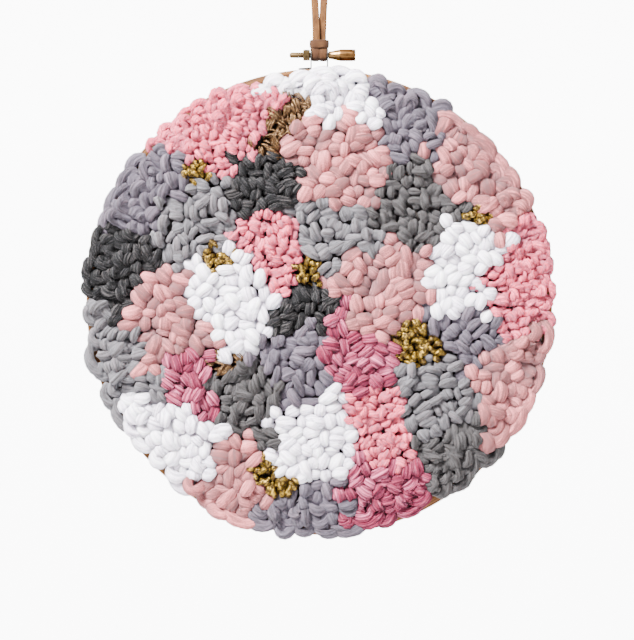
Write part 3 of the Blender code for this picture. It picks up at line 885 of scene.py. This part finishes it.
def facet_group():
    """Small facets of metal foil, wound slantwise round a cord or strand: painted glints make some bright
    and some dark, and their tilt gives relief.
    """
    group, given, result = new_group(
        "foil_facets",
        {"Facets": 16.0, "Across": 1.6, "Slant": 0.9},
        {"Glint": "Float", "Relief": "Float"},
    )
    run = tube_run(group)
    chance = tube_tone(group)[0]
    angle = turned_angle(group, run, given["Slant"])
    reach = times(group, given["Across"], 1 / (2 * math.pi))
    vector = tube_place(group, angle, calc(group, "MULTIPLY_ADD", chance, 31.0, run[1]), reach)
    cells = add_node(group, "TexVoronoi", {"Vector": vector, "Scale": given["Facets"]})
    glint = add_node(group, "SeparateColor", {0: cells.outputs["Color"]}).outputs[0]
    tilt = calc(group, "MULTIPLY_ADD", glint, 0.6, times(group, cells.outputs["Distance"], -1.0))
    set_inputs(group, result, {"Glint": glint, "Relief": tilt})
    return group


def tarnish_group():
    """Cloudy stains and fine scratches on metal."""
    group, given, result = new_group(
        "tarnish",
        {"Cloud Scale": 300.0, "Scratch Scale": 2500.0},
        {"Clouds": "Float", "Scratches": "Float"},
    )
    place = add_node(group, "TexCoord").outputs["Object"]
    clouds = spread(group, noise(group, place, given["Cloud Scale"], 4.0), 0.35, 0.7)
    stretched = add_node(group, "VectorMath", {0: place, 1: (0.06, 1.0, 1.0)}, operation="MULTIPLY")
    fine = noise(group, stretched.outputs[0], given["Scratch Scale"], 2.0)
    set_inputs(group, result, {"Clouds": clouds, "Scratches": fine})
    return group


def grain_group():
    """Wood grain that runs round a ring: pale and dark fibres and small pores."""
    group, given, result = new_group(
        "wood_grain",
        {"Fineness": 3.2, "Draw": 0.35},
        {"Grain": "Float", "Pores": "Float"},
    )
    run = tube_run(group)
    angle = times(group, run[0], 2 * math.pi)
    vector = tube_place(group, angle, times(group, run[1], given["Draw"]))
    grain = noise(group, vector, given["Fineness"], 5.0, 0.6)
    dashes = noise(group, vector, times(group, given["Fineness"], 6.0), 1.0, 0.5)
    set_inputs(group, result, {"Grain": grain, "Pores": spread(group, dashes, 0.62, 0.72)})
    return group


# Materials


def new_material(name, finish):
    """A material with its shader's plain values, its node tree and the shader's inputs."""
    material = bpy.data.materials.new(name)
    material.use_nodes = True
    tree = material.node_tree
    shader = tree.nodes["Principled BSDF"].inputs
    for label, value in finish.items():
        shader[label].default_value = value
    return material, tree, shader


def link_surface(tree, shader, colour, height, relief, strength=1.0):
    """Links a surface's colour and its bump, whose relief is in metres."""
    tree.links.new(colour, shader["Base Color"])
    bump = add_node(tree, "Bump", {"Height": height, "Distance": relief, "Strength": strength})
    tree.links.new(bump.outputs["Normal"], shader["Normal"])


def place_colour(tree, codes, streaks, fuzz, shares):
    """The yarn's colour group with its three tones, its streaks and its fuzz."""
    pale, middle, deep = map(paint, codes)
    tones = {"Pale": pale, "Middle": middle, "Deep": deep}
    return place_group(tree, YARN_COLOUR, {**tones, "Streaks": streaks, "Fuzz": fuzz, **shares})


Fibre = namedtuple("Fibre", "fineness draw winding strands streaks parted heather groove valley relief")
# How each yarn's fibres lie and show, and how much painted shade goes into its strands' partings, its
# plies' grooves and the valleys between loops
FIBRES = {
    "blush": Fibre(2.6, 0.45, 0.10, 5, 1.3, 0.08, 0.7, 0.0, 0.75, 0.7),
    "coral": Fibre(3.4, 0.90, 0.95, 6, 2.4, 0.40, 1.2, 0.42, 0.52, 1.0),
    "rose": Fibre(2.4, 0.50, 0.06, 12, 1.9, 0.60, 0.5, 0.85, 0.75, 0.9),
    "white": Fibre(2.6, 0.60, 0.15, 6, 2.3, 0.30, 0.9, 0.0, 0.90, 1.2),
    "silver": Fibre(2.6, 0.45, 0.20, 7, 2.6, 0.35, 0.8, 0.40, 0.65, 1.0),
    "grey": Fibre(2.6, 0.60, 0.36, 8, 2.8, 0.45, 1.0, 0.60, 0.70, 1.0),
    "lavender": Fibre(2.6, 0.45, 0.14, 7, 2.6, 0.35, 0.8, 0.40, 0.65, 1.0),
    "charcoal": Fibre(3.0, 0.90, 0.45, 9, 4.0, 0.85, 2.4, 0.70, 0.85, 1.3),
}


WOOL_FINISH = {
    "Roughness": 0.88,
    "Subsurface Weight": 0.5,
    "Subsurface Radius": (1.0, 0.85, 0.8),
    "Subsurface Scale": 1.2 * MM,
    "Specular IOR Level": 0.10,
    "Sheen Weight": 0.03,
    "Sheen Roughness": 0.45,
}

Foil = namedtuple("Foil", "facets across slant metallic roughness")
# Bright gold cord and darker antique strands
FOILS = {
    "gold": Foil(17.0, 0.9, 1.3, 0.85, 0.30),
    "bronze": Foil(12.0, 0.25, 0.4, 0.7, 0.38),
}


def yarn_material(name):
    """Wool, or the metallic cord and strands."""
    if name in FIBRES:
        return wool_material(name)
    return foil_material(name)


def wool_material(name):
    """Soft yarn, with its fibres as its row of the table has them."""
    fibre = FIBRES[name]
    material, tree, shader = new_material(f"wool_{name}", WOOL_FINISH)
    lie = {"Fineness": fibre.fineness, "Draw": fibre.draw, "Winding": fibre.winding}
    fibres = place_group(tree, YARN_FIBRES, {**lie, "Strands": float(fibre.strands)})
    shares = {
        "Streak Share": fibre.streaks,
        "Strand": fibres["Strand"],
        "Strand Shade": fibre.parted,
        "Heather": fibre.heather,
        "Groove Shade": fibre.groove,
        "Valley Shade": fibre.valley,
    }
    colour = place_colour(tree, YARN_TONES[name], fibres["Streaks"], fibres["Fuzz"], shares)
    link_surface(tree, shader, colour["Colour"], colour["Height"], fibre.relief * MM)
    return material


def foil_material(name):
    """Metal foil in small facets."""
    foil = FOILS[name]
    finish = {"Metallic": foil.metallic, "Roughness": foil.roughness}
    material, tree, shader = new_material(f"foil_{name}", finish)
    lie = {"Facets": foil.facets, "Across": foil.across, "Slant": foil.slant}
    facets = place_group(tree, FOIL_FACETS, lie)
    shares = {"Streak Share": 1.4, "Heather": 0.0, "Groove Shade": 0.75, "Valley Shade": 0.9}
    colour = place_colour(tree, YARN_TONES[name], facets["Glint"], facets["Glint"], shares)
    link_surface(tree, shader, colour["Colour"], facets["Relief"], 0.35 * MM)
    return material


def wood_material(name, tones):
    """Bare wood with its grain round the ring. The tones are pale fibres, dark fibres and pores."""
    pale, dark, pore = map(paint, tones)
    material, tree, shader = new_material(name, {"Roughness": 0.6, "Specular IOR Level": 0.2})
    grain = place_group(tree, WOOD_GRAIN, {"Fineness": 7.0, "Draw": 0.035})
    tone = blend_colours(tree, spread(tree, grain["Grain"], 0.34, 0.66), pale, dark)
    worn = blend_colours(tree, times(tree, grain["Pores"], 0.6), tone, pore)
    link_surface(tree, shader, worn, grain["Grain"], 0.10 * MM, 0.6)
    return material


def suede_material():
    """Brushed tan leather: cloudy nap on the faces, and painted shade on the cut edge."""
    finish = {"Roughness": 0.85, "Specular IOR Level": 0.15, "Sheen Weight": 0.05}
    material, tree, shader = new_material("suede_tan", finish)
    lie = {"Fineness": 1.5, "Draw": 1.1, "Winding": 0.0, "Fuzz Scale": 2600.0}
    fibres = place_group(tree, YARN_FIBRES, lie)
    shares = {"Streak Share": 2.2, "Heather": 0.9, "Groove Shade": 0.55, "Valley Shade": 0.8}
    colour = place_colour(tree, SUEDE_TONES, fibres["Streaks"], fibres["Fuzz"], shares)
    link_surface(tree, shader, colour["Colour"], colour["Height"], 0.15 * MM)
    return material


def metal_material(name, bright, stained, roughness):
    """Worn metal with cloudy stains and fine scratches."""
    finish = {"Metallic": 1.0, "Specular Tint": (0.40, 0.30, 0.20, 1)}
    material, tree, shader = new_material(name, finish)
    stains = place_group(tree, TARNISH, {})
    colour = blend_colours(tree, stains["Clouds"], paint(bright), paint(stained))
    link_surface(tree, shader, colour, stains["Scratches"], 0.03 * MM, 0.5)
    rough = spread(tree, stains["Scratches"], 0.3, 0.7, roughness - 0.08, roughness + 0.14)
    tree.links.new(rough, shader["Roughness"])
    return material


def cotton_material():
    """Plain woven cotton, its threads crossing over and under.

    Its front, under the loops, is made dark, so that a gap between them reads as shade.
    """
    material, tree, shader = new_material("cotton_cloth", {"Roughness": 0.9})
    coordinates = add_node(tree, "TexCoord").outputs
    place = coordinates["Object"]
    facing = add_node(tree, "SeparateXYZ", {0: coordinates["Normal"]}).outputs[1]
    sway = times(tree, noise(tree, place, 160.0), 3.0)
    x, _, z = add_node(tree, "SeparateXYZ", {0: place}).outputs
    per_metre = math.pi / THREAD_SPACING
    warp, weft = (calc(tree, "SINE", calc(tree, "MULTIPLY_ADD", run, per_metre, sway)) for run in (x, z))
    over = times(tree, warp, weft)
    height = calc(tree, "ADD", over, times(tree, noise(tree, place, 2500.0), 0.5))
    # painted shade: the weave is darker where a thread dips under, paler where it lies over
    tone = blend_colours(tree, spread(tree, height, -0.9, 1.2), paint("b5ad9f"), paint("d3cfc5"))
    tone = blend_colours(tree, spread(tree, facing, -0.2, -0.7), tone, paint("3c3634"))
    link_surface(tree, shader, tone, height, 0.12 * MM)
    return material


# Rings and cloth


def eased_section(inside, outside, back, front, easing):
    """A closed rectangle section with rounded corners, as (radius, y) points in order."""
    corners = (
        (outside - easing, back - easing, 90),
        (outside - easing, front + easing, 0),
        (inside + easing, front + easing, -90),
        (inside + easing, back - easing, -180),
    )
    section = []
    for radius, y, start in corners:
        for step in range(4):
            angle = math.radians(start - 30 * step)
            section.append((radius + easing * math.cos(angle), y + easing * math.sin(angle)))
    return section


def make_ring(name, node, gap, tones):
    """A ring of bent wood, open by the gap at its top."""
    low, high = (Vector(corner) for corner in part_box(node))
    outside = (high.x - low.x) / 2
    section = np.array(eased_section(outside - RING_WALL, outside, high.y, low.y, RING_EASING))
    half_gap = math.asin(gap / 2 / outside)
    angles = np.linspace(math.pi / 2 + half_gap, 5 * math.pi / 2 - half_gap, RING_STATIONS)
    radii, levels = section.T
    round_it = angles[None, :, None]
    points = from_middle(radii * np.cos(round_it), levels, radii * np.sin(round_it))
    along = ((angles - angles[0]) * outside)[None]
    ring = joined_tubes(name, [(points, along, plain_tone(points))])
    ring.data.set_sharp_from_angle(angle=math.radians(50))
    ring.data.materials.append(wood_material(f"wood_{name}", tones))
    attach(ring, "hoop")
    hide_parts(node)


def make_cloth():
    """The cotton drawn over the inner ring's front edge and back between the rings."""
    inner = CLOTH_RADIUS - CLOTH_THICKNESS
    front = CLOTH_LOW.y
    section = [(radius * MM, front) for radius in range(2, 122, 8)]
    section += [(CLOTH_RADIUS - 0.8 * MM, front), (CLOTH_RADIUS - 0.2 * MM, front + 0.2 * MM)]
    section += [(CLOTH_RADIUS, front + 0.8 * MM), (CLOTH_RADIUS, CLOTH_HIGH.y)]
    section += [(inner, CLOTH_HIGH.y), (inner, CLOTH_BACK_Y)]
    section += [(radius * MM, CLOTH_BACK_Y) for radius in range(114, 1, -8)]
    angles = 2 * math.pi * np.arange(CLOTH_TURNS) / CLOTH_TURNS
    radii, levels = np.array(section).T[:, None, :, None]
    points = from_middle(radii * np.cos(angles), levels, radii * np.sin(angles))
    skirt = points[..., 1] > CLOTH_BACK_Y + 3 * MM
    points[..., 1] -= np.where(skirt, 0.5 * MM * (0.5 + 0.5 * np.sin(23 * angles) * np.cos(9 * angles)), 0)
    along = lengths_along(points[:, :, 0])
    cloth = joined_tubes("cotton_cloth", [(points, along, plain_tone(points))])
    cloth.data.set_sharp_from_angle(angle=math.radians(40))
    cloth.data.materials.append(cotton_material())
    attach(cloth, "hoop")
    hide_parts("backing_cloth")


# Lace


def smooth_route(rows, per_span):
    """Points on a smooth curve through the rows, with every column carried along."""
    rows = np.array(rows, float)
    padded = np.vstack([2 * rows[0] - rows[1], rows, 2 * rows[-1] - rows[-2]])
    before, start, end, after = (padded[k : k + len(rows) - 1, None] for k in range(4))
    t = (np.arange(per_span) / per_span)[:, None]
    made = (
        start
        + 0.5 * t * (end - before)
        + t * t * (before - 2.5 * start + 2 * end - 0.5 * after)
        + 0.5 * t * t * t * (3 * (start - end) + after - before)
    )
    return np.vstack([made.reshape(-1, rows.shape[1]), rows[-1:]])


def strap(name, centres, across, widths, thickness, height, seed):
    """A flat strap with soft edges along the centres, its width laid along the across directions. Its
    height sets its painted shade, and its cut edges get painted shade too.
    """
    rng = np.random.default_rng(seed)
    around = 20
    angle = 2 * math.pi * np.arange(around) / around
    wide = np.sign(np.cos(angle)) * np.abs(np.cos(angle)) ** 0.45
    high = np.sign(np.sin(angle)) * np.abs(np.sin(angle)) ** 0.75
    centres = centres[None]
    across, out = lie_square(centres, across[None])
    along = lengths_along(centres)
    wobble = 1 + 0.015 * np.sin(450 * along + rng.uniform(0, 6))
    half = (widths[None] / 2 * wobble)[..., None, None]
    cupped = 0.10 * thickness * (wide**2)[None, None, :, None]
    points = centres[:, :, None] + half * wide[:, None] * across[:, :, None]
    points = points + (thickness / 2 * high[:, None] + cupped) * out[:, :, None]
    # painted shade on the cut edges, through the crest tone
    edge = 1 - np.abs(wide) ** 4 * (1 - 0.7 * np.abs(high))
    tone = plain_tone(points, height)
    tone[..., 2] = edge
    return joined_tubes(name, [(points, along, tone)])


def lie_turned(degrees, level, upright):
    """Directions that turn from the first one given to the second."""
    turned = np.radians(degrees)[:, None]
    return np.cos(turned) * level + np.sin(turned) * upright


def lace_stations():
    """Centres and width directions of the whole loop: up the left strand, over and down."""
    rows = smooth_route(LACE_ROUTE, 5)
    left = rows[:, :3] + (0, 0, SCREW_AXIS_Z)
    left_across = lie_turned(rows[:, 3], (1, 0, 0), (0, 1, 0))
    radius = LACE_ARCH_RADIUS + LACE_THICKNESS / 2
    arch = radius * lie_turned(np.arange(180, -1, -7.5), (1, 0, 0), (0, 0, 1))
    arch = arch - (0, 0, LACE_ARCH_RADIUS)
    arch_across = np.tile([0.0, 1.0, 0.0], (len(arch), 1))
    right = left[::-1] * (-1, -1, 1)
    right_across = left_across[::-1] * (-1, 1, 1)
    return np.vstack([left, arch, right]), np.vstack([left_across, arch_across, right_across])


def hitch_stations():
    """Centres, width directions and widths of the hitch, from the left strand round to the right one."""
    rows = smooth_route(HITCH_ROUTE, 5)
    rows[:, :4] *= MM
    left = rows[:, :3] + (0, 0, SCREW_AXIS_Z)
    across = lie_turned(rows[:, 4], (1, 0, 0), (0, 0, 1))
    right = left[-2::-1] * (-1, 1, 1)
    right_across = across[-2::-1] * (-1, 1, 1)
    widths = np.concatenate([rows[:, 3], rows[-2::-1, 3]])
    return np.vstack([left, right]), np.vstack([across, right_across]), widths


def make_lace():
    """The suede lace: the loop above, and the hitch round the screw."""
    suede = suede_material()
    centres, across = lace_stations()
    widths = np.full(len(centres), LACE_WIDTH)
    # painted shade: the right strand lies behind the left, so it is given the lower height and comes out
    # darker
    strand_shade_height = np.linspace(0.90, 0.62, len(centres))[:, None]  # the right strand is darker than the left
    loop = strap("suede_loop", centres, across, widths, LACE_THICKNESS, strand_shade_height, 3)
    hitch_centres, hitch_across, widths = hitch_stations()
    # painted shade: the hitch's low height darkens it all over towards the deep tone
    hitch = strap("suede_hitch", hitch_centres, hitch_across, widths, HITCH_THICKNESS, 0.38, 4)
    for piece, node in ((loop, "lace_loop"), (hitch, "lace_hitch")):
        piece.data.materials.append(suede)
        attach(piece, "hoop")
        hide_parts(node)


# Metal


def make_screw(dull_brass):
    """The threaded shank, flared neck and slotted knob, turned in one piece. The neck is polished, and its
    paler brass is a painted highlight.
    """
    around = 30
    angle = 2 * math.pi * np.arange(around) / around
    tip = SCREW_LOW.x
    shank = np.arange(tip, NECK_X, THREAD_PITCH / 6)
    thread = 0.5 - 0.5 * np.cos(2 * math.pi * shank[:, None] / THREAD_PITCH - angle)
    core = SHANK_RADIUS - THREAD_DEPTH * thread
    nose = np.clip((shank - tip) / (1.5 * MM), 0.0, 1.0)[:, None]
    round_end = SHANK_RADIUS * np.sqrt(1 - (1 - nose) ** 2).clip(0.12)
    radii = np.minimum(core, round_end)
    knob = np.array(KNOB_SECTION) * MM
    x = np.concatenate([shank, knob[:, 0]])
    radii = np.vstack([radii, np.tile(knob[:, 1:], (1, around))])
    points = np.empty((1, len(x), around, 3))
    points[0, ..., 0] = x[:, None]
    points[0, ..., 1] = radii * np.cos(angle)
    points[0, ..., 2] = SCREW_AXIS_Z + radii * np.sin(angle)
    screw = joined_tubes("turned_screw", [(points, (x - tip)[None], plain_tone(points))])
    cut_slot(screw)
    screw.data.set_sharp_from_angle(angle=math.radians(35))
    screw.data.materials.append(dull_brass)
    # painted highlight: the neck's brass is paler than the shank's and the knob's; its lower roughness is
    # its polish
    screw.data.materials.append(metal_material("polished_brass_painted_highlight", "94734a", "70522e", 0.30))
    screw.data.materials.append(metal_material("knob_brass", "6a4a2a", "452d16", 0.36))
    for face in screw.data.polygons:
        face.material_index = int(face.center.x > NECK_X) + int(face.center.x > NECK_END_X)
    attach(screw, "screw")
    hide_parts("tension_screw")


def cut_slot(screw):
    """Cuts the driver's slot across the knob's end, upright as it hangs."""
    bpy.ops.mesh.primitive_cube_add(size=1, location=(SCREW_HIGH.x, 0, SCREW_AXIS_Z))
    cutter = bpy.context.active_object
    cutter.scale = (2 * SLOT_DEPTH, SLOT_WIDTH, 10 * MM)
    cut = screw.modifiers.new("slot", "BOOLEAN")
    cut.object = cutter
    cut.operation = "DIFFERENCE"
    bpy.context.view_layer.update()
    evaluated = screw.evaluated_get(bpy.context.evaluated_depsgraph_get())
    mesh = bpy.data.meshes.new_from_object(evaluated)
    screw.modifiers.clear()
    screw.data = mesh
    bpy.data.objects.remove(cutter)


def finish_metal_fittings(dull_brass):
    """The ears and the nut keep their own shape and take their metal."""
    steel = metal_material("steel_ears", "504c48", "35322e", 0.36)
    for name, material in (("ear_left", steel), ("ear_right", steel), ("nut", dull_brass)):
        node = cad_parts[name]
        for slot in node.material_slots:
            slot.material = material


YARN_FIBRES = fibre_group()
YARN_COLOUR = yarn_colour_group()
FOIL_FACETS = facet_group()
TARNISH = tarnish_group()
WOOD_GRAIN = grain_group()

add_camera()
make_lace()
add_lights()
add_backdrop()
make_yarn_pieces()
make_ring("split_ring", "outer_ring", SPLIT_WIDTH, OUTER_WOOD)
make_ring("stretcher_ring", "inner_ring", JOINT_WIDTH, INNER_WOOD)
make_cloth()
brass = metal_material("dull_brass", "604e33", "372a1c", 0.38)
make_screw(brass)
finish_metal_fittings(brass)
